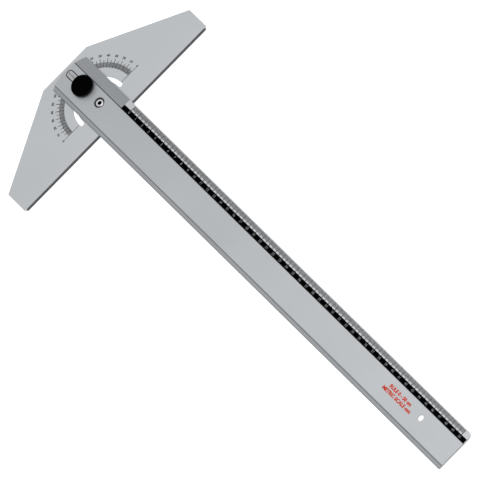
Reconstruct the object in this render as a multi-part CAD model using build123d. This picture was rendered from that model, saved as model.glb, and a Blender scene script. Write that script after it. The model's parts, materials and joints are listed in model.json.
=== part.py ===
from build123d import *
from math import degrees
import os

# Adjustable-head T square: a flat aluminium blade with a printed centimetre scale, turning on a
# hexagonal protractor head and held at its angle by a thumb knob that runs in an arc slot.
#
# Millimetres.  The origin is the middle of the head's working face, the face that bears on the
# edge of the drawing board.  +X runs along the blade to its far end, +Y to its scale edge and
# +Z up from the drawing surface.

# ---------------------------------------------------------------- driving dimensions: the head
head_length = 236.0            # along the board's edge
head_depth = 79.0              # from the working face back to the rear edge
head_end_flat = 26.4           # the square-cut part of each end
head_back_flat = 56.0          # the straight part of the rear edge
plate_thickness = 1.8
plate_corner = 0.8             # corner cut where the front meets each end
edge_break = 0.2               # chamfer on the plate's rims

strip_drop = 1.6               # how far the guide strip stands below the plate
strip_lip = 0.5                # its lip in front of the plate's edge
strip_width = 13.0
strip_corner = 2.4             # corner cut at each end of the strip
strip_inset = 0.4              # from the plate's end to the strip's end

screw_count = 5
screw_end_margin = 24.0
screw_radius = 1.0
screw_head_radius = 1.9
screw_head_height = 1.0
screw_bite = 1.2               # thread length inside the plate
screw_driver_width = 0.5
screw_driver_depth = 0.45

# ------------------------------------------------------------------------ the pivot
edge_to_pivot = 24.0           # from the working face back to the pivot
pivot_shank_radius = 2.5
pivot_bore_radius = 1.9
pivot_bore_depth = 3.4         # the bore stops in the rivet's head
pivot_flange_radius = 3.7
pivot_flange_height = 0.4
pivot_head_radius = 3.5
pivot_head_height = 0.6
top_washer_radius = 4.9
top_washer_height = 0.3
back_washer_radius = 4.6
back_washer_height = 0.4
glide_radius = 8.0
glide_height = 0.3             # the nylon discs that the blade slides on
pivot_web = 0.7                # blade metal left under the pivot's recess
recess_gap = 0.3               # radial, round the top washer in its recess

# ------------------------------------------------------------------------ the blade
blade_reach = 515.5            # from the working face to the far end
blade_width = 43.0
blade_thickness = 2.2
blade_head_radius = 51.2       # rounded head end, about the pivot
scale_bevel_width = 11.4
scale_bevel_top = 1.9
scale_edge_height = 0.75
back_bevel_width = 4.9
back_step_width = 0.9          # the steep part at the top of the back bevel
back_step_height = 1.45
back_edge_height = 0.9
back_edge_cut = 0.4            # slanted rim of the back edge
groove_width = 0.6             # V groove between the raised middle and the scale bevel
groove_depth = 0.8
scale_corner_radius = 4.8
back_corner_radius = 1.5
hang_hole_radius = 3.05
hang_hole_to_end = 51.9

tape_start = -2.7              # a little behind the working face
tape_thickness = 0.2
tape_margin = 0.1              # bare metal left each side of the tape

window_width = 8.1
window_margin = 2.4            # from the blade's head end, and from the clamp washer
window_shoulder_width = 0.6
window_shoulder_depth = 0.5

# ------------------------------------------------------------------------ the clamp
slot_radius = 25.0             # of the arc slot's centre line, about the pivot
bolt_radius = 2.0              # M4
bolt_head_radius = 4.3
bolt_head_height = 1.0
neck_overhang = 0.6            # the neck is longer than wide, so the bolt can't turn in the slot
slide_washer_radius = 5.0
slide_washer_height = 0.3
clamp_washer_radius = 6.0
clamp_washer_height = 0.4
clamp_glide_radius = 6.0

knob_radius = 10.85
knob_height = 2.8
knob_edge = 0.35
knob_tooth_count = 40
knob_groove_radius = 0.45
knob_rim_width = 2.0
knob_boss_radius = 5.0
knob_recess_depth = 1.3
insert_radius = 3.3
insert_height = 1.9
insert_rib_count = 16
insert_rib_radius = 0.22

# ------------------------------------------------------------------------ clearances
running = 0.05                 # radial, and the play left between sliding faces
bolt_hole_gap = 0.1            # radial, round the bolt in the blade and its washers
slot_side_gap = 0.1            # each side of the bolt's neck
seat_gap = 0.02                # round pieces that are fixed in a pocket

# ------------------------------------------------------------------------ worked-out levels
face_height = plate_thickness + strip_drop
strip_bottom = -face_height / 2
plate_bottom = strip_bottom + strip_drop
plate_top = plate_bottom + plate_thickness
blade_bottom = plate_top + glide_height + running
blade_top = blade_bottom + blade_thickness
recess_floor = blade_bottom + pivot_web
top_washer_bottom = recess_floor + running
flange_bottom = top_washer_bottom + top_washer_height
clamp_washer_top = blade_top + clamp_washer_height
knob_bottom = clamp_washer_top + running
insert_top = knob_bottom + insert_height

# ------------------------------------------------------------------------ worked-out places
pivot_x = -edge_to_pivot
clamp_x = pivot_x - slot_radius
blade_head_x = pivot_x - blade_head_radius
hang_hole_x = blade_reach - hang_hole_to_end
window_start = blade_head_x + window_margin
window_end = clamp_x - clamp_washer_radius - window_margin
window_length = window_end - window_start
window_x = (window_start + window_end) / 2
scale_bevel_y = blade_width / 2 - scale_bevel_width
groove_end_y = scale_bevel_y + groove_width
back_bevel_y = -blade_width / 2 + back_bevel_width
neck_width = 2 * bolt_radius
neck_length = neck_width + 2 * neck_overhang
slot_width = neck_width + 2 * slot_side_gap
pivot_hole_radius = pivot_shank_radius + running
bolt_hole_radius = bolt_radius + bolt_hole_gap


def cylinder(x, y, bottom, top, radius):
    """An upright cylinder."""
    return Pos(x, y, (bottom + top) / 2) * Cylinder(radius, top - bottom)


def ring(x, y, bottom, top, outer, inner):
    """A flat washer."""
    return cylinder(x, y, bottom, top, outer) - cylinder(x, y, bottom, top, inner)


def prism(points, bottom, top):
    """A plan outline made solid between two levels."""
    outline = make_face(Polyline(*points, close=True))
    return extrude(Pos(0, 0, bottom) * outline, top - bottom)


def both_sides(points):
    """A closed outline from its +Y half, listed front to back."""
    return points + [(x, -y) for x, y in reversed(points)]


# ------------------------------------------------------------------------ head pieces
def screw_places():
    """The strip screws, evenly spaced under the middle of the strip's foot."""
    span = head_length - 2 * screw_end_margin
    step = span / (screw_count - 1)
    middle_x = -strip_lip - (strip_width - strip_lip) / 2
    return [(middle_x, -span / 2 + index * step) for index in range(screw_count)]


def make_head_plate():
    """Hexagonal protractor plate with the arc slot."""
    half = head_length / 2
    front = -strip_lip - seat_gap
    outline = [
        (front, half - plate_corner),
        (front - plate_corner, half),
        (-head_end_flat, half),
        (-head_depth, head_back_flat / 2),
    ]
    plate = prism(both_sides(outline), plate_bottom, plate_top)
    plate -= cylinder(pivot_x, 0, plate_bottom, plate_top, pivot_hole_radius)
    # The slot runs on past a right angle by the neck's overhang, so the bolt reaches 90 degrees.
    past = degrees((neck_overhang + slot_side_gap) / slot_radius)
    centre_line = CenterArc((pivot_x, 0), slot_radius, 90 - past, 180 + 2 * past)
    slot = Pos(0, 0, plate_bottom) * SlotArc(centre_line, slot_width)
    plate -= extrude(slot, plate_thickness)
    rims = plate.faces().sort_by(Axis.Z)[-1].edges() + plate.faces().sort_by(Axis.Z)[0].edges()
    plate = chamfer(rims, edge_break)
    for x, y in screw_places():
        plate -= cylinder(x, y, plate_bottom, plate_bottom + screw_bite + seat_gap, screw_radius)
    return plate


def make_guide_strip():
    """L-section strip: a foot under the plate and a lip that is the working face."""
    half = head_length / 2 - strip_inset
    outline = [(0, half - strip_corner), (-strip_corner, half), (-strip_width, half)]
    strip = prism(both_sides(outline), strip_bottom, plate_top)
    above_foot = Box(
        strip_width, head_length, plate_thickness, align=(Align.MAX, Align.CENTER, Align.MIN)
    )
    strip -= Pos(-strip_lip, 0, plate_bottom) * above_foot
    for x, y in screw_places():
        strip -= Pos(x, y, strip_bottom) * make_screw_space()
    return strip


def make_screw_space():
    """The countersunk hole of one strip screw, standing on the strip's underside."""
    sink = Pos(0, 0, screw_head_height / 2) * Cone(
        screw_head_radius, screw_radius, screw_head_height
    )
    return sink + cylinder(0, 0, 0, strip_drop, screw_radius)


def make_strip_screws():
    """Countersunk screws, put in from below and ending inside the plate."""
    length = strip_drop + screw_bite
    screw = make_screw_space() + cylinder(0, 0, 0, length, screw_radius)
    across = Box(2 * screw_head_radius, screw_driver_width, 2 * screw_driver_depth)
    screw -= across
    screw -= Rot(0, 0, 90) * across
    solids = [Pos(x, y, strip_bottom) * screw for x, y in screw_places()]
    return Compound(children=[piece for group in solids for piece in group.solids()])


def make_pivot_rivet():
    """Semi-tubular rivet: head under the plate, shank as the pivot, hollow end flared on top."""
    head_top = plate_bottom - back_washer_height
    head_bottom = head_top - pivot_head_height
    flange_top = flange_bottom + pivot_flange_height
    rivet = cylinder(pivot_x, 0, head_bottom, flange_top, pivot_shank_radius)
    rivet += cylinder(pivot_x, 0, flange_bottom, flange_top, pivot_flange_radius)
    rivet += cylinder(pivot_x, 0, head_bottom, head_top, pivot_head_radius)
    rivet -= cylinder(pivot_x, 0, flange_top - pivot_bore_depth, flange_top, pivot_bore_radius)
    ends = rivet.faces().sort_by(Axis.Z)[-1].edges() + rivet.faces().sort_by(Axis.Z)[0].edges()
    return fillet(ends, 0.4 * min(pivot_flange_height, pivot_head_height))


def make_pivot_top_washer():
    """Dark washer in the blade's recess, under the rivet's flange."""
    inner = pivot_shank_radius + seat_gap
    return ring(pivot_x, 0, top_washer_bottom, flange_bottom, top_washer_radius, inner)


def make_pivot_back_washer():
    """Steel washer between the rivet's head and the plate."""
    inner = pivot_shank_radius + seat_gap
    bottom = plate_bottom - back_washer_height
    return ring(pivot_x, 0, bottom, plate_bottom, back_washer_radius, inner)


def make_pivot_glide():
    """Thin nylon disc between the plate and the blade."""
    inner = pivot_shank_radius + seat_gap
    return ring(pivot_x, 0, plate_top, plate_top + glide_height, glide_radius, inner)


# ------------------------------------------------------------------------ blade pieces
def blade_outline(bottom, top):
    """The blade's plan outline made solid: rounded head end, rounded far corners."""
    length = blade_reach - pivot_x
    bar = Pos(pivot_x + length / 2, 0) * Rectangle(length, blade_width)
    corners = (
        (blade_width / 2, scale_corner_radius),
        (-blade_width / 2, back_corner_radius),
    )
    for corner_y, radius in corners:
        corner = bar.vertices().sort_by_distance((blade_reach, corner_y, 0))[0]
        bar = fillet(corner, radius)
    reach = Pos(pivot_x - blade_head_radius / 2, 0) * Rectangle(blade_head_radius, blade_width)
    round_end = (Pos(pivot_x, 0) * Circle(blade_head_radius)) & reach
    outline = Pos(0, 0, bottom) * (bar + round_end)
    return extrude(outline, top - bottom)


def bevel_height(y):
    """Level of the scale bevel's surface above the blade's underside."""
    share = (y - scale_bevel_y) / scale_bevel_width
    return scale_bevel_top + share * (scale_edge_height - scale_bevel_top)


def along_blade(section, start, end):
    """A Y-Z section, measured up from the blade's underside, run along the blade."""
    face = make_face(Polyline(*section, close=True))
    run = extrude(Plane.YZ * face, end - start)
    return Pos(start, 0, blade_bottom) * run


def make_window_shape(grow):
    """The index window with its shoulder, a little larger by grow."""
    length = window_length + 2 * grow
    width = window_width + 2 * grow
    inner = 2 * window_shoulder_width
    shoulder_bottom = blade_top - window_shoulder_depth - grow
    flange = Pos(window_x, 0, shoulder_bottom) * SlotOverall(length, width)
    body = Pos(window_x, 0, blade_bottom) * SlotOverall(length - inner, width - inner)
    return extrude(flange, blade_top - shoulder_bottom) + extrude(body, blade_thickness)


def make_blade():
    """Extruded blade: raised middle, V groove, scale bevel, narrow back bevel, pivot recess."""
    half = blade_width / 2
    section = [
        (-half, 0),
        (half, 0),
        (half, scale_edge_height),
        (groove_end_y, bevel_height(groove_end_y)),
        (scale_bevel_y + groove_width / 2, blade_thickness - groove_depth),
        (scale_bevel_y, blade_thickness),
        (back_bevel_y, blade_thickness),
        (back_bevel_y - back_step_width, back_step_height),
        (-half + back_edge_cut, back_edge_height),
        (-half, back_edge_height - back_edge_cut),
    ]
    blade = along_blade(section, blade_head_x, blade_reach) & blade_outline(blade_bottom, blade_top)
    blade -= cylinder(pivot_x, 0, blade_bottom, blade_top, pivot_hole_radius)
    blade -= cylinder(pivot_x, 0, recess_floor, blade_top, top_washer_radius + recess_gap)
    blade -= cylinder(clamp_x, 0, blade_bottom, blade_top, bolt_hole_radius)
    blade -= cylinder(hang_hole_x, 0, blade_bottom, blade_top, hang_hole_radius)
    return blade - make_window_shape(seat_gap)


def make_scale_tape():
    """Printed scale tape stuck along the bevel, trimmed to the blade's far corner."""
    low = groove_end_y + tape_margin
    high = blade_width / 2 - tape_margin
    section = [
        (low, bevel_height(low)),
        (high, bevel_height(high)),
        (high, bevel_height(high) + tape_thickness),
        (low, bevel_height(low) + tape_thickness),
    ]
    tape = along_blade(section, tape_start, blade_reach)
    return tape & blade_outline(blade_bottom, blade_top)


def make_index_window():
    """Clear insert, flush with the blade's two faces."""
    return make_window_shape(0)


def make_clamp_washer():
    """Steel washer between the knob and the blade."""
    return ring(clamp_x, 0, blade_top, clamp_washer_top, clamp_washer_radius, bolt_hole_radius)


def make_clamp_glide():
    """Nylon disc under the blade that slides over the plate and its slot."""
    top = blade_bottom
    return ring(clamp_x, 0, top - glide_height, top, clamp_glide_radius, bolt_hole_radius)


# ------------------------------------------------------------------------ clamp pieces
def make_insert_shape(grow):
    """Outline of the knob's threaded insert, ribbed so that it can't turn in the knob."""
    shape = cylinder(clamp_x, 0, knob_bottom, insert_top + grow, insert_radius + grow)
    rib = cylinder(0, 0, knob_bottom, insert_top + grow, insert_rib_radius + grow)
    places = PolarLocations(insert_radius, insert_rib_count)
    return shape + [Pos(clamp_x, 0, 0) * place * rib for place in places]


def make_clamp_knob():
    """Thumb knob: toothed rim, flat top, ring-shaped recess underneath."""
    knob_top = knob_bottom + knob_height
    grooves = PolarLocations(knob_radius + knob_groove_radius / 3, knob_tooth_count)
    plan = Circle(knob_radius) - grooves * Circle(knob_groove_radius)
    teeth = extrude(Pos(clamp_x, 0, knob_bottom) * plan, knob_height)
    body = cylinder(clamp_x, 0, knob_bottom, knob_top, knob_radius)
    body = chamfer(body.edges().filter_by(GeomType.CIRCLE), knob_edge)
    recess_top = knob_bottom + knob_recess_depth
    outer = knob_radius - knob_rim_width
    knob = (teeth & body) - ring(clamp_x, 0, knob_bottom, recess_top, outer, knob_boss_radius)
    return knob - make_insert_shape(seat_gap)


def make_knob_insert():
    """Brass insert with the knob's thread."""
    thread = cylinder(clamp_x, 0, knob_bottom, insert_top, bolt_radius + running)
    return make_insert_shape(0) - thread


def make_clamp_bolt():
    """Clamp bolt: low head under the plate, flat-sided neck in the slot, shank to the knob."""
    head_top = plate_bottom - running - slide_washer_height
    bolt = cylinder(clamp_x, 0, head_top - bolt_head_height, head_top, bolt_head_radius)
    bolt = chamfer(bolt.edges().sort_by(Axis.Z)[0], edge_break)
    neck = Pos(clamp_x, 0, head_top) * Rot(0, 0, 90) * SlotOverall(neck_length, neck_width)
    bolt += extrude(neck, plate_top - head_top)
    bolt += cylinder(clamp_x, 0, head_top, insert_top, bolt_radius)
    tip = bolt.faces().sort_by(Axis.Z)[-1].edges()
    return chamfer(tip, edge_break)


def make_slide_washer():
    """Washer on the bolt's neck, between its head and the plate."""
    top = plate_bottom - running
    bottom = top - slide_washer_height
    washer = cylinder(clamp_x, 0, bottom, top, slide_washer_radius)
    hole = SlotOverall(neck_length + 2 * seat_gap, neck_width + 2 * seat_gap)
    return washer - extrude(Pos(clamp_x, 0, bottom) * Rot(0, 0, 90) * hole, slide_washer_height)


pieces = {
    "head_plate": make_head_plate,
    "guide_strip": make_guide_strip,
    "strip_screws": make_strip_screws,
    "pivot_rivet": make_pivot_rivet,
    "pivot_top_washer": make_pivot_top_washer,
    "pivot_back_washer": make_pivot_back_washer,
    "pivot_glide": make_pivot_glide,
    "blade": make_blade,
    "scale_tape": make_scale_tape,
    "index_window": make_index_window,
    "clamp_washer": make_clamp_washer,
    "clamp_glide": make_clamp_glide,
    "clamp_knob": make_clamp_knob,
    "knob_insert": make_knob_insert,
    "clamp_bolt": make_clamp_bolt,
    "slide_washer": make_slide_washer,
}

os.makedirs("parts", exist_ok=True)
for name, make in pieces.items():
    export_step(make(), f"parts/{name}.step")
    print("wrote", name)
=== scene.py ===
# %% [markdown]
# # A T square with an adjustable head
#
# The CAD model already holds every size and every moving part of this drawing instrument.
# Blender's work is the looks: anodised aluminium, black moulded plastic, a printed scale tape
# and the fine print of the protractor. The first cell loads the CAD model as a fixed frame, so
# that every later piece can ask the frame where it goes.

# %% Load the frame
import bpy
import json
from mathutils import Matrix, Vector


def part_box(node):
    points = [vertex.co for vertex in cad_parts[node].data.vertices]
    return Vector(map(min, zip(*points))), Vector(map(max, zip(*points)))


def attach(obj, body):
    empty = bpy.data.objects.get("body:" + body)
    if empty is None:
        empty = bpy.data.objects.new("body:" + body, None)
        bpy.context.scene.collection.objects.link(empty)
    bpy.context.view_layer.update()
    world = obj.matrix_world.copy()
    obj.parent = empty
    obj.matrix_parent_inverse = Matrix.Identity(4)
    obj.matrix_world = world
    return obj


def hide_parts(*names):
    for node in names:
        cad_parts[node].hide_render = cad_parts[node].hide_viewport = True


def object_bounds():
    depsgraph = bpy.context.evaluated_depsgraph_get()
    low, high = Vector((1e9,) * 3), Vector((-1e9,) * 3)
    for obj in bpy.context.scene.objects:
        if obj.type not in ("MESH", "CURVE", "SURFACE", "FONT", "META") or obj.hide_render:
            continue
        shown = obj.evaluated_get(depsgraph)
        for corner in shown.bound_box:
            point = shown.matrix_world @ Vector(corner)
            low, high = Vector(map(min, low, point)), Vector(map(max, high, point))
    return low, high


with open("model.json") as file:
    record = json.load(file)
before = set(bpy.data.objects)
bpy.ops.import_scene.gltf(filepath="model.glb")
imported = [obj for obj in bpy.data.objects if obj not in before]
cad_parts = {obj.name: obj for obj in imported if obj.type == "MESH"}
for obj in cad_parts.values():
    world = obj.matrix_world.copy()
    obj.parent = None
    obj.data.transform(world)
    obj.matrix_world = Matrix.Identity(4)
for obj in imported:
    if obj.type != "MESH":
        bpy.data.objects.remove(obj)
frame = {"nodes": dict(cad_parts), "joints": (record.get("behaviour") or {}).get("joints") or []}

cad_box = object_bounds()
print("CAD box, metres:", [tuple(round(v, 4) for v in corner) for corner in cad_box])

# %% [markdown]
# Blender's Python modules come next, with one unit for small sizes. The instrument is measured
# in millimetres and Blender works in metres, so sizes below are written as a number times MM.

# %% Modules and the unit
import json
import math
import bmesh
import bpy
from mathutils import Matrix, Vector

MM = 0.001
print("one millimetre is", MM, "of Blender's units")

# %% [markdown]
# Places are read from the frame, not typed again: the box of a CAD node gives its faces, and a
# joint gives its axis. A piece made from these values still fits if the CAD model changes.

# %% Places on the instrument
joints = {joint["name"]: joint for joint in frame["joints"]}
pivot = Vector(joints["blade_pivot"]["pos_m"])
clamp = Vector(joints["knob_turn"]["pos_m"])
blade_low, blade_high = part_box("blade")
tape_low, tape_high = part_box("scale_tape")
window_low, window_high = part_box("index_window")
plate_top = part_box("head_plate")[1].z
blade_top = blade_high.z
print("pivot to clamp, mm:", round((pivot.x - clamp.x) / MM, 2))

# %% [markdown]
# ## Camera
#
# The instrument is seen from the far end of the blade, looking towards the head and steeply
# down, with the camera rolled so that the blade runs from the upper left to the lower right.
# A very long lens from far away keeps parallel edges parallel. The three axes of the camera are
# worked out first, because a roll is hard to read from angles.

# %% Camera
elevation = math.radians(56.5)
roll = math.radians(44.45)
frame_width = 434.5 * MM
lens = 1500.0
sensor = 36.0
aim = Vector((189.3 * MM, 0.45 * MM, plate_top))

towards_camera = Vector((math.cos(elevation), 0, math.sin(elevation)))
down_blade = Vector((math.sin(elevation), 0, -math.cos(elevation)))
across = Vector((0, 1, 0))
right = math.cos(roll) * down_blade + math.sin(roll) * across
up = -math.sin(roll) * down_blade + math.cos(roll) * across

camera_data = bpy.data.cameras.new("camera")
camera_data.lens = lens
camera_data.sensor_width = sensor
distance = frame_width * lens / sensor
clip_share = 10
camera_data.clip_start = distance / clip_share
camera_data.clip_end = distance * clip_share
camera = bpy.data.objects.new("camera", camera_data)
bpy.context.scene.collection.objects.link(camera)
turn = Matrix((right, up, towards_camera)).transposed().to_4x4()
camera.matrix_world = Matrix.Translation(aim + towards_camera * distance) @ turn
bpy.context.scene.camera = camera
print("camera distance, m:", round(distance, 2))

# %% [markdown]
# ## Floor and light
#
# The floor is a light table: a plain white sheet that glows a little, so that it stays white
# right up to the edges and through the holes, with no hard shadow. A shader can glow and take
# light at the same time, so the softest part of a shadow still shows.

# %% Floor
floor_radius = 4.0
floor_drop = 0.02 * MM
floor_glow = 0.82
floor_grey = 0.6
floor_mesh = bpy.data.meshes.new("floor")
bm = bmesh.new()
bmesh.ops.create_circle(bm, cap_ends=True, radius=floor_radius, segments=96)
bmesh.ops.translate(bm, verts=bm.verts, vec=(aim.x, 0, cad_box[0].z - floor_drop))
bm.to_mesh(floor_mesh)
bm.free()
floor = bpy.data.objects.new("floor", floor_mesh)
bpy.context.scene.collection.objects.link(floor)

paper = bpy.data.materials.new("pale_floor")
paper.use_nodes = True
paper_shader = paper.node_tree.nodes["Principled BSDF"]
paper_shader.inputs["Base Color"].default_value = (floor_grey, floor_grey, floor_grey, 1)
paper_shader.inputs["Roughness"].default_value = 0.9
paper_shader.inputs["Specular IOR Level"].default_value = 0.0
paper_shader.inputs["Emission Color"].default_value = (1.0, 1.0, 1.0, 1)
paper_shader.inputs["Emission Strength"].default_value = floor_glow
floor.data.materials.append(paper)
print("floor radius, m:", floor_radius, "glow:", floor_glow)

# %% [markdown]
# Metal shows what is round it, so the room matters as much as the lamps. The world is a grey that
# is brighter near the horizon than overhead, where it is slightly blue. Its brightness follows
# the height of the direction looked at, through a ramp on the Z part of that direction.

# %% World
horizon_grey = 0.84
zenith_grey = 0.56
zenith_height = 0.9
blue_cast = 0.015
world = bpy.data.worlds.new("studio")
bpy.context.scene.world = world
world.use_nodes = True
tree = world.node_tree
direction = tree.nodes.new("ShaderNodeTexCoord")
split = tree.nodes.new("ShaderNodeSeparateXYZ")
ramp = tree.nodes.new("ShaderNodeValToRGB")
tree.links.new(direction.outputs["Generated"], split.inputs[0])
tree.links.new(split.outputs["Z"], ramp.inputs["Fac"])
tree.links.new(ramp.outputs["Color"], tree.nodes["Background"].inputs["Color"])
horizon, zenith = ramp.color_ramp.elements
horizon.position = 0.0
horizon.color = (horizon_grey, horizon_grey, horizon_grey, 1)
zenith.position = zenith_height
zenith.color = (zenith_grey * (1 - blue_cast), zenith_grey, zenith_grey * (1 + blue_cast), 1)
bpy.context.scene.view_settings.view_transform = "Standard"
print("world grey from", horizon_grey, "at the horizon to", zenith_grey, "overhead")

# %% [markdown]
# Two soft lamps do the rest. The overhead panel stands close to the place that the flat blade
# mirrors, and closest for its far end, so the flat faces are bright and brighten towards that
# end. The sloping bevels mirror the room beside the panel, so they are darker. The low lamp
# behind the head gives the knob its short shadow towards the far end.

# %% Lamps
def add_lamp(name, place, target, size_x, size_y, energy):
    data = bpy.data.lights.new(name, "AREA")
    data.shape = "RECTANGLE"
    data.size = size_x
    data.size_y = size_y
    data.energy = energy
    lamp = bpy.data.objects.new(name, data)
    bpy.context.scene.collection.objects.link(lamp)
    facing = (target - place).to_track_quat("-Z", "Y").to_matrix().to_4x4()
    lamp.matrix_world = Matrix.Translation(place) @ facing
    print(name, "is", round((target - place).length, 2), "m away")


add_lamp("overhead_panel", Vector((0.05, 0.1, 1.0)), Vector((0.5, 0.05, 0)), 0.5, 0.7, 1.75)
add_lamp("back_lamp", Vector((-1.5, -0.15, 0.75)), Vector((0.0, 0, 0)), 0.5, 0.4, 2.0)

# %% [markdown]
# ## Finishes
#
# Every finish starts from the same few nodes: object coordinates, a mapping that stretches
# them, a noise, and the surface shader. Stretching a noise along one axis turns round spots
# into the fine parallel lines that rolling and drawing leave on metal. A second, much coarser
# noise varies the tint by a few per cent, so that no large face is perfectly even.

# %% Helper: a noise on stretched object coordinates
def stretched_noise(tree, scale, detail):
    place = tree.nodes.new("ShaderNodeTexCoord")
    mapping = tree.nodes.new("ShaderNodeMapping")
    mapping.inputs["Scale"].default_value = scale
    noise = tree.nodes.new("ShaderNodeTexNoise")
    noise.inputs["Scale"].default_value = 1.0
    noise.inputs["Detail"].default_value = detail
    tree.links.new(place.outputs["Object"], mapping.inputs["Vector"])
    tree.links.new(mapping.outputs["Vector"], noise.inputs["Vector"])
    return noise.outputs["Fac"]


def spread(tree, value, low, high):
    bounds = tree.nodes.new("ShaderNodeMapRange")
    bounds.inputs["To Min"].default_value = low
    bounds.inputs["To Max"].default_value = high
    tree.links.new(value, bounds.inputs["Value"])
    return bounds.outputs["Result"]


# %% Helper: a finish with a grain
cloudy = (14.0, 14.0, 14.0)
along_x = (30.0, 5200.0, 5200.0)
even = (2600.0, 2600.0, 2600.0)


def finish(name, colour, metallic, roughness, grain, depth, vary=0.06, gloss=0.5):
    material = bpy.data.materials.new(name)
    material.use_nodes = True
    tree = material.node_tree
    shader = tree.nodes["Principled BSDF"]
    shader.inputs["Metallic"].default_value = metallic
    shader.inputs["Specular IOR Level"].default_value = gloss
    fine = stretched_noise(tree, grain, 3.0)
    cloud = stretched_noise(tree, cloudy, 2.0)
    uneven = spread(tree, fine, roughness - vary, roughness + vary)
    tree.links.new(uneven, shader.inputs["Roughness"])
    tint = tree.nodes.new("ShaderNodeMix")
    tint.data_type = "RGBA"
    tint.inputs["A"].default_value = (*[c * (1 - vary) for c in colour], 1)
    tint.inputs["B"].default_value = (*[min(1, c * (1 + vary)) for c in colour], 1)
    tree.links.new(cloud, tint.inputs["Factor"])
    tree.links.new(tint.outputs["Result"], shader.inputs["Base Color"])
    bump = tree.nodes.new("ShaderNodeBump")
    bump.inputs["Distance"].default_value = depth
    bump.inputs["Strength"].default_value = 0.5
    tree.links.new(fine, bump.inputs["Height"])
    tree.links.new(bump.outputs["Normal"], shader.inputs["Normal"])
    print(name, "has roughness", roughness)
    return material


# %% [markdown]
# The blade is drawn through a die, so its grain runs along it. The head plate is punched from
# sheet and satin anodised, so its grain is finer and almost the same both ways. The guide strip
# is anodised dark, and the sawn end of the blade is duller than its faces.

# %% Metal finishes
drawn_tint = (0.515, 0.53, 0.545)
blade_metal = finish("blade_aluminium", drawn_tint, 1.0, 0.5, along_x, 0.01 * MM)
under_metal = finish("blade_underside", drawn_tint, 1.0, 0.5, along_x, 0.01 * MM)
plate_metal = finish("plate_aluminium", (0.61, 0.625, 0.64), 1.0, 0.5, even, 0.008 * MM, 0.04)
end_metal = finish("sawn_end", (0.33, 0.34, 0.35), 1.0, 0.5, even, 0.01 * MM)
strip_metal = finish("dark_anodised", (0.075, 0.078, 0.083), 0.9, 0.45, along_x, 0.01 * MM)
steel = finish("zinc_steel", (0.50, 0.50, 0.51), 1.0, 0.33, even, 0.01 * MM)
nickel = finish("bright_nickel", (0.80, 0.80, 0.81), 1.0, 0.2, even, 0.002 * MM, 0.03)
brass = finish("turned_brass", (0.72, 0.52, 0.22), 1.0, 0.3, even, 0.01 * MM)

# %% [markdown]
# The blade is not one even tone across its width, and the difference is painted shade, put into the
# colour. The middle keeps the plain colour. The two sloping sides are painted darker for the dimmer
# room that they mirror. Painted shade also darkens the groove, the foot of the step and the outer
# edge, where the step and the edge shade the metal. Those bands run the whole length, so they
# depend on one thing only, the distance across the blade, and a colour ramp on the object's Y does
# it.

# %% Painted shade across the blade
# Painted shade: each stop is a distance across the blade in mm and the share of the colour kept
# there.
painted_shade_across_blade = (
    (-21.5, 0.52),
    (-20.9, 0.64),
    (-20.0, 0.80),
    (-18.0, 0.80),
    (-17.7, 0.30),
    (-17.3, 0.34),
    (-17.0, 1.00),
    (9.7, 1.00),
    (9.9, 0.34),
    (10.5, 0.40),
    (10.7, 0.72),
    (21.5, 0.70),
)


def tone_across(material, stops, low, high):
    tree = material.node_tree
    place = tree.nodes.new("ShaderNodeTexCoord")
    parts = tree.nodes.new("ShaderNodeSeparateXYZ")
    tree.links.new(place.outputs["Object"], parts.inputs[0])
    share = tree.nodes.new("ShaderNodeMapRange")
    share.inputs["From Min"].default_value = low
    share.inputs["From Max"].default_value = high
    tree.links.new(parts.outputs["Y"], share.inputs["Value"])
    tone = tree.nodes.new("ShaderNodeValToRGB")
    tree.links.new(share.outputs["Result"], tone.inputs["Fac"])
    while len(tone.color_ramp.elements) < len(stops):
        tone.color_ramp.elements.new(0.5)
    for element, (y, value) in zip(tone.color_ramp.elements, stops):
        element.position = (y * MM - low) / (high - low)
        element.color = (value, value, value, 1)
    shader = tree.nodes["Principled BSDF"]
    plain = shader.inputs["Base Color"].links[0].from_socket
    # The ramp multiplies the base colour, so the shade is painted into it.
    shaded = tree.nodes.new("ShaderNodeMix")
    shaded.data_type = "RGBA"
    shaded.blend_type = "MULTIPLY"
    shaded.inputs["Factor"].default_value = 1.0
    tree.links.new(plain, shaded.inputs["A"])
    tree.links.new(tone.outputs["Color"], shaded.inputs["B"])
    tree.links.new(shaded.outputs["Result"], shader.inputs["Base Color"])


tone_across(blade_metal, painted_shade_across_blade, blade_low.y, blade_high.y)
print("blade tones:", len(painted_shade_across_blade))

# %% [markdown]
# The rest is plastic, film and ink. The tape is a silver film, and nylon is milky white. Black
# moulded plastic has a fine spark-eroded grain. It and matt black print reflect almost nothing,
# so their specular level is zero. Fingers polish the rim of the knob, so the rim shines a little.
# The window is acrylic that has gone slightly milky.

# %% Plastic, film and ink finishes
knob_black = finish("black_moulded", (0.0015, 0.0015, 0.0016), 0.0, 0.5, even, 0.02 * MM, gloss=0.0)
rim_black = finish("black_polished", (0.002, 0.002, 0.002), 0.0, 0.3, even, 0.005 * MM, gloss=0.12)
washer_black = finish("black_nylon", (0.006, 0.006, 0.007), 0.0, 0.42, even, 0.01 * MM, gloss=0.2)
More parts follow.
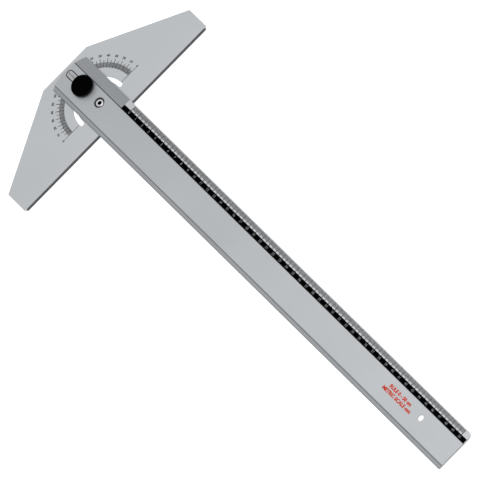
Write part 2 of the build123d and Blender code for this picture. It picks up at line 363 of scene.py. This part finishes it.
# Painted shade: a near-black finish for the inside of the rivet's blind bore.
bore_painted_shade = finish("bore_shadow", (0.003, 0.003, 0.003), 0.0, 0.7, even, 0.01 * MM, gloss=0.05)
nylon = finish("white_nylon", (0.80, 0.80, 0.76), 0.0, 0.45, even, 0.01 * MM)
film = finish("silver_film", (0.62, 0.63, 0.64), 0.6, 0.5, even, 0.004 * MM, 0.03)
black_ink = finish("black_ink", (0.0015, 0.0015, 0.0018), 0.0, 0.55, even, 0.004 * MM, gloss=0.0)
dark_ink = finish("dark_ink", (0.003, 0.003, 0.0035), 0.0, 0.55, even, 0.004 * MM, gloss=0.0)
white_ink = finish("white_ink", (0.30, 0.305, 0.305), 0.0, 0.5, even, 0.004 * MM, gloss=0.2)
red_ink = finish("red_ink", (0.76, 0.045, 0.001), 0.0, 0.5, even, 0.004 * MM, gloss=0.0)

window_haze = 0.12
window_clear = 0.5
acrylic = bpy.data.materials.new("milky_acrylic")
acrylic.use_nodes = True
acrylic_shader = acrylic.node_tree.nodes["Principled BSDF"]
acrylic_shader.inputs["Base Color"].default_value = (0.90, 0.91, 0.92, 1)
acrylic_shader.inputs["Roughness"].default_value = window_haze
acrylic_shader.inputs["IOR"].default_value = 1.49
acrylic_shader.inputs["Transmission Weight"].default_value = window_clear
print("milky_acrylic has roughness", window_haze)

# %% [markdown]
# In this step the CAD nodes keep their shapes and only change their finish. One table says which
# finish each node wears, so that none is left in its plain CAD colour.

# %% Dress the CAD nodes
finish_of = {
    "head_plate": plate_metal,
    "guide_strip": strip_metal,
    "strip_screws": steel,
    "pivot_rivet": nickel,
    "pivot_top_washer": washer_black,
    "pivot_back_washer": steel,
    "pivot_glide": nylon,
    "blade": blade_metal,
    "scale_tape": film,
    "index_window": acrylic,
    "clamp_washer": steel,
    "clamp_glide": nylon,
    "clamp_knob": knob_black,
    "knob_insert": brass,
    "clamp_bolt": steel,
    "slide_washer": steel,
}
for node, material in finish_of.items():
    mesh = frame["nodes"][node].data
    mesh.materials.clear()
    mesh.materials.append(material)
print("dressed", len(finish_of), "of", len(frame["nodes"]), "nodes")

# %% [markdown]
# ## Turned pieces
#
# The knob and the rivet are round, so each starts as half of its section, a chain of a few
# points, and a full spin makes the body. Rounding the corners of the chain first, with a vertex
# bevel, rounds the finished rims, and it costs one call.

# %% Helper: keep a finished mesh as a piece
def make_piece(name, bm, body, slot, *materials):
    mesh = bpy.data.meshes.new(name)
    bm.to_mesh(mesh)
    bm.free()
    piece = bpy.data.objects.new(name, mesh)
    bpy.context.scene.collection.objects.link(piece)
    for material in materials:
        mesh.materials.append(material)
    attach(piece, body)
    print(name, "has", len(mesh.polygons), "faces")
    return piece


# %% Helper: turn a section about the Z axis
def turned(section, rounded, radius, steps):
    """Section points are (radius, height) in order; rounded lists the corners to soften."""
    bm = bmesh.new()
    points = [bm.verts.new((r, 0, z)) for r, z in section]
    for start, end in zip(points, points[1:]):
        bm.edges.new((start, end))
    corners = [points[index] for index in rounded]
    bmesh.ops.bevel(
        bm, geom=corners, offset=radius, segments=4, profile=0.5,
        affect="VERTICES", material=-1,
    )
    bmesh.ops.spin(
        bm, geom=bm.verts[:] + bm.edges[:], cent=(0, 0, 0), axis=(0, 0, 1),
        angle=math.tau, steps=steps, use_merge=True,
    )
    bmesh.ops.remove_doubles(bm, verts=bm.verts, dist=0.0005 * MM)
    bmesh.ops.recalc_face_normals(bm, faces=bm.faces)
    return bm


# %% [markdown]
# The thumb knob is moulded: a low rim round a slightly dished top, forty rounded teeth, and a
# ring-shaped recess underneath that keeps the wall even. The teeth are pressed into the spun
# rim afterwards. Each point near the rim moves inwards by a cosine of its angle, which gives
# rounded teeth with no sharp edge.

# %% Thumb knob
knob_low, knob_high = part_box("clamp_knob")
knob_radius = (knob_high.y - knob_low.y) / 2
knob_height = knob_high.z - knob_low.z
dish_depth = 0.22 * MM
dish_radius = 8.4 * MM
recess_outer = 8.6 * MM
recess_inner = 5.0 * MM
recess_depth = 1.3 * MM
insert_radius = 3.55 * MM
insert_depth = 1.92 * MM
knob_section = [
    (0, knob_height - dish_depth),
    (dish_radius, knob_height - dish_depth),
    (dish_radius + dish_depth, knob_height),
    (knob_radius, knob_height),
    (knob_radius, 0),
    (recess_outer, 0),
    (recess_outer, recess_depth),
    (recess_inner, recess_depth),
    (recess_inner, 0),
    (insert_radius, 0),
    (insert_radius, insert_depth),
    (0, insert_depth),
]
tooth_count = 40
tooth_depth = 0.5 * MM
tooth_reach = 1.3 * MM
steps_per_tooth = 10
rim_round = 0.2 * MM
bm = turned(knob_section, (1, 2, 3, 4), rim_round, tooth_count * steps_per_tooth)
for vert in bm.verts:
    reach = vert.co.xy.length
    share = max(0, 1 - (knob_radius - reach) / tooth_reach)
    groove = (0.5 + 0.5 * math.cos(tooth_count * math.atan2(vert.co.y, vert.co.x))) ** 2
    if share > 0:
        vert.co.xy *= 1 - tooth_depth * share * groove / reach
bm.normal_update()
for face in bm.faces:
    rim = face.calc_center_median().xy.length > knob_radius - tooth_reach
    face.material_index = 1 if rim and abs(face.normal.z) < 0.5 else 0
bmesh.ops.translate(bm, verts=bm.verts, vec=(clamp.x, clamp.y, knob_low.z))
knob = make_piece("thumb_knob", bm, "knob", "knob_plastic", knob_black, rim_black)
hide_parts("clamp_knob")

# %% [markdown]
# The pivot is a semi-tubular rivet in a shallow recess of the blade. Its hollow end is flared into
# a bright, slightly domed ring on top, and its solid head is below. The blind bore is painted
# near-black as painted shade: the faces that lie near the axis take a dark second finish.

# %% Pivot rivet
rivet_low, rivet_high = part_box("pivot_rivet")
bore_radius = 1.9 * MM
bore_depth = 3.4 * MM
shank_radius = 2.5 * MM
flange_radius = (rivet_high.y - rivet_low.y) / 2
head_radius = 3.5 * MM
flange_height = 0.4 * MM
head_height = 0.6 * MM
dome = 0.12 * MM
flare_slope = 0.5 * MM
flange_round = 0.1 * MM
top = rivet_high.z - rivet_low.z
bore_floor = top - bore_depth
rivet_section = [
    (0, bore_floor),
    (bore_radius, bore_floor),
    (bore_radius, top - dome),
    (bore_radius + dome, top),
    (flange_radius - flare_slope, top - dome / 2),
    (flange_radius, top - 2 * dome),
    (flange_radius, top - flange_height),
    (shank_radius, top - flange_height),
    (shank_radius, head_height),
    (head_radius, head_height),
    (head_radius, 2 * dome),
    (head_radius - 2 * dome, 0),
    (0, 0),
]
bm = turned(rivet_section, (3, 4, 5, 9, 10, 11), flange_round, 72)
# Painted shade: the bore faces near the axis take the near-black second finish.
for face in bm.faces:
    middle = face.calc_center_median()
    in_bore = middle.xy.length < bore_radius + 0.02 * MM and middle.z > head_height
    face.material_index = 1 if in_bore else 0
bmesh.ops.translate(bm, verts=bm.verts, vec=(pivot.x, pivot.y, rivet_low.z))
rivet = make_piece("flared_rivet", bm, "head", "rivet_nickel", nickel, bore_painted_shade)
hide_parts("pivot_rivet")

# %% [markdown]
# ## Softened edges
#
# No real edge is perfectly sharp. Sawn and punched parts are deburred, and the narrow round that
# is left catches the light. A CAD node's mesh is loose triangles, so a copy is merged first and
# its flat triangles are dissolved into whole faces. Then every sharp edge gets a small round.

# %% Helper: a CAD node with softened edges
flat_angle = math.radians(0.5)
sharp_angle = math.radians(25)


def soften(node, body, slot, width, *materials):
    bm = bmesh.new()
    bm.from_mesh(frame["nodes"][node].data)
    bmesh.ops.remove_doubles(bm, verts=bm.verts, dist=0.002 * MM)
    bmesh.ops.dissolve_limit(bm, angle_limit=flat_angle, verts=bm.verts, edges=bm.edges)
    sharp = [edge for edge in bm.edges if edge.calc_face_angle(0) > sharp_angle]
    bmesh.ops.bevel(
        bm, geom=sharp, offset=width, segments=2, profile=0.5,
        affect="EDGES", clamp_overlap=True, material=-1,
    )
    for face in bm.faces:
        face.smooth = False
    piece = make_piece("soft_" + node, bm, body, slot, *materials)
    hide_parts(node)
    return piece


# %% [markdown]
# The blade, the plate and the strip get a round of about a tenth of a millimetre, and the washers
# a little less. The blade's far end is sawn, so its end face takes the duller second finish. The
# flat underside has no bands, so it takes a third finish, the plain metal.

# %% Softened metal parts
soften("head_plate", "head", "plate_aluminium", 0.12 * MM, plate_metal)
soften("guide_strip", "head", "strip_metal", 0.15 * MM, strip_metal)
soften("pivot_top_washer", "head", "black_nylon", 0.06 * MM, washer_black)
soften("pivot_back_washer", "head", "steel", 0.08 * MM, steel)
soften("clamp_washer", "blade", "steel", 0.08 * MM, steel)
soften("slide_washer", "bolt", "steel", 0.08 * MM, steel)
blade_finishes = (blade_metal, end_metal, under_metal)
soft_blade = soften("blade", "blade", "blade_aluminium", 0.1 * MM, *blade_finishes)
for face in soft_blade.data.polygons:
    if face.normal.x > 0.9 and face.center.x > blade_high.x - 1 * MM:
        face.material_index = 1
    if face.normal.z < -0.5:
        face.material_index = 2

# %% [markdown]
# ## Print
#
# Ink is modelled as real geometry a few hundredths of a millimetre thick, because it stays sharp at
# any distance and stays part of the mesh. Two helpers do nearly all of it: one lays a straight bar
# of ink, the other sets a line of lettering.

# %% Helper: bars of ink
ink = 0.03 * MM


def add_bar(bm, low_x, high_x, low_y, high_y, place=Matrix.Identity(4)):
    middle = Matrix.Translation(((low_x + high_x) / 2, (low_y + high_y) / 2, ink / 2))
    size = Matrix.Diagonal((high_x - low_x, high_y - low_y, ink, 1))
    bmesh.ops.create_cube(bm, size=1, matrix=place @ middle @ size)


# %% Helper: lettering
def lettering(text, height, weight):
    curve = bpy.data.curves.new("lettering", "FONT")
    curve.body = text
    curve.align_x = "CENTER"
    curve.resolution_u = 3
    curve.offset = weight
    curve.extrude = 0.5
    holder = bpy.data.objects.new("lettering", curve)
    bpy.context.scene.collection.objects.link(holder)
    bpy.context.view_layer.update()
    mesh = bpy.data.meshes.new_from_object(holder)
    bpy.data.objects.remove(holder)
    bm = bmesh.new()
    bm.from_mesh(mesh)
    top = max(v.co.y for v in bm.verts)
    bottom = min(v.co.y for v in bm.verts)
    scale = height / (top - bottom)
    bmesh.ops.translate(bm, verts=bm.verts, vec=(0, -(top + bottom) / 2, 0.5))
    bmesh.ops.scale(bm, verts=bm.verts, vec=(scale, scale, ink))
    bm.to_mesh(mesh)
    bm.free()
    return mesh


def add_lettering(bm, text, height, place, weight=0.0):
    mesh = lettering(text, height, weight)
    start = len(bm.verts)
    bm.from_mesh(mesh)
    bm.verts.ensure_lookup_table()
    bmesh.ops.transform(bm, verts=bm.verts[start:], matrix=place)
    bpy.data.meshes.remove(mesh)


# %% [markdown]
# The protractor is printed on the head plate round the pivot. It counts from zero on both base
# lines to ninety over the head, one line to a degree, with longer lines at every fifth and
# tenth degree.

# %% Protractor print
degree_inner = 35.9 * MM
degree_outer = 41.1 * MM
five_outer = 43.3 * MM
ten_outer = 44.9 * MM
base_inner = 27.7 * MM
base_outer = 46.0 * MM
degree_width = 0.36 * MM
five_width = 0.5 * MM
base_width = 0.42 * MM
figure_radius = 47.9 * MM
figure_height = 2.5 * MM
figure_weight = 0.03


def at_angle(degrees):
    """Local +X points outwards at this angle from the +Y base line, turning over the head."""
    heading = Matrix.Rotation(math.radians(90 + degrees), 4, "Z")
    return Matrix.Translation((pivot.x, pivot.y, plate_top)) @ heading


bm = bmesh.new()
for degree in range(181):
    outer, width = degree_outer, degree_width
    if degree % 5 == 0:
        outer, width = five_outer, five_width
    if degree % 10 == 0:
        outer = ten_outer
    inner = degree_inner
    if degree in (0, 180):
        inner, outer, width = base_inner, base_outer, base_width
    add_bar(bm, inner, outer, -width / 2, width / 2, at_angle(degree))
make_piece("protractor_lines", bm, "head", "black_ink", dark_ink)

# %% [markdown]
# Every tenth line carries its figure. The figures stand round the arc with their tops outwards,
# as on a clock, so each one is turned with its line before it is placed.

# %% Protractor figures
bm = bmesh.new()
upright = Matrix.Rotation(math.radians(-90), 4, "Z")
for degree in range(0, 181, 10):
    figure = degree if degree <= 90 else 180 - degree
    outwards = at_angle(degree) @ Matrix.Translation((figure_radius, 0, 0))
    add_lettering(bm, str(figure), figure_height, outwards @ upright, figure_weight)
make_piece("protractor_figures", bm, "head", "black_ink", dark_ink)

# %% [markdown]
# The scale is printed on the tape, and the tape lies on the sloping bevel. The print is drawn
# flat and then sheared, so that each point keeps its place in plan and drops onto the slope.
# The slope comes from the tape's box, less its own thickness.

# %% Slope of the tape
tape_thickness = 0.2 * MM
drop = (tape_high.z - tape_low.z) - tape_thickness
slope = -drop / (tape_high.y - tape_low.y)
on_tape = Matrix((
    (1, 0, 0, 0),
    (0, 1, 0, 0),
    (0, slope, 1, tape_high.z - slope * tape_low.y),
    (0, 0, 0, 1),
))
print("tape slope, degrees:", round(math.degrees(math.atan(slope)), 2))

# %% [markdown]
# Millimetre lines start near the edge. Every fifth is bolder and longer and reaches the black
# band that carries the numbers. The band's inner edge bridges the groove beside the tape, and the
# band stops just short of the blade's end.

# %% Scale lines and band
zero_mark = 7.0 * MM
scale_length = 500
band_outer = 15.0 * MM
band_bridge = 0.65 * MM
band_inner = tape_low.y - band_bridge
band_end = tape_high.x - 0.3 * MM
edge_start = tape_high.y - 0.85 * MM
line_inner = 16.6 * MM
line_width = 0.54 * MM
five_line_width = 0.68 * MM

bm = bmesh.new()
for step in range(scale_length + 1):
    inner, width = line_inner, line_width
    if step % 5 == 0:
        inner, width = band_outer, five_line_width
    x = zero_mark + step * MM
    add_bar(bm, x - width / 2, x + width / 2, inner, edge_start, on_tape)
make_piece("scale_lines", bm, "blade", "black_ink", black_ink)

bm = bmesh.new()
add_bar(bm, tape_low.x, band_end, band_inner, band_outer, on_tape)
make_piece("scale_band", bm, "blade", "black_ink", black_ink)

# %% [markdown]
# The centimetre figures are white and lie on top of the band's ink, halfway across the band, one
# at every tenth line.

# %% Scale figures
scale_figure_height = 2.4 * MM
band_middle = (band_inner + band_outer) / 2
on_band = on_tape @ Matrix.Translation((0, 0, ink))
bm = bmesh.new()
for centimetre in range(scale_length // 10 + 1):
    x = zero_mark + centimetre * 10 * MM
    place = on_band @ Matrix.Translation((x, band_middle, 0))
    add_lettering(bm, str(centimetre), scale_figure_height, place)
make_piece("scale_figures", bm, "blade", "white_ink", white_ink)

# %% [markdown]
# Near the hang hole the blade carries its length and its unit in red, in two short bold lines.

# %% Size mark
mark_height = 3.9 * MM
mark_weight = 0.05
mark_x = 431.8 * MM
mark_lines = {"RULE 0 - 50 cm": 2.0 * MM, "METRIC SCALE mm": -3.3 * MM}
bm = bmesh.new()
for words, y in mark_lines.items():
    place = Matrix.Translation((mark_x, y, blade_top))
    add_lettering(bm, words, mark_height, place, mark_weight)
make_piece("size_mark", bm, "blade", "red_ink", red_ink)

# %% [markdown]
# The angle is read through the window at the blade's head end. A black border is printed round
# the clear insert and a hairline runs down its middle. The border is two stretched circles with
# a bridge between them, and the bridge is then pulled up by the thickness of the ink.

# %% Window border and hairline
border = 0.8 * MM
hairline = 0.4 * MM
window_middle = (window_low + window_high) / 2
half_width = (window_high.y - window_low.y) / 2
half_straight = (window_high.x - window_low.x) / 2 - half_width


def stretched_circle(bm, radius, half_length):
    ring = bmesh.ops.create_circle(bm, radius=radius, segments=64)["verts"]
    for side in (-1, 1):
        end = [v for v in ring if v.co.x * side > 0.001 * MM]
        bmesh.ops.translate(bm, verts=end, vec=(side * half_length, 0, 0))
    return list({edge for vert in ring for edge in vert.link_edges})


bm = bmesh.new()
edges = stretched_circle(bm, half_width, half_straight)
edges += stretched_circle(bm, half_width - border, half_straight)
flat = bmesh.ops.bridge_loops(bm, edges=edges)["faces"]
pulled = bmesh.ops.extrude_face_region(bm, geom=flat)["geom"]
raised = [part for part in pulled if isinstance(part, bmesh.types.BMVert)]
bmesh.ops.translate(bm, verts=raised, vec=(0, 0, ink))
bmesh.ops.recalc_face_normals(bm, faces=bm.faces)
half_line = half_straight + half_width - border
add_bar(bm, -half_line, half_line, -hairline / 2, hairline / 2)
on_window = (window_middle.x, window_middle.y, window_high.z)
bmesh.ops.translate(bm, verts=bm.verts, vec=on_window)
make_piece("window_print", bm, "blade", "black_ink", dark_ink)
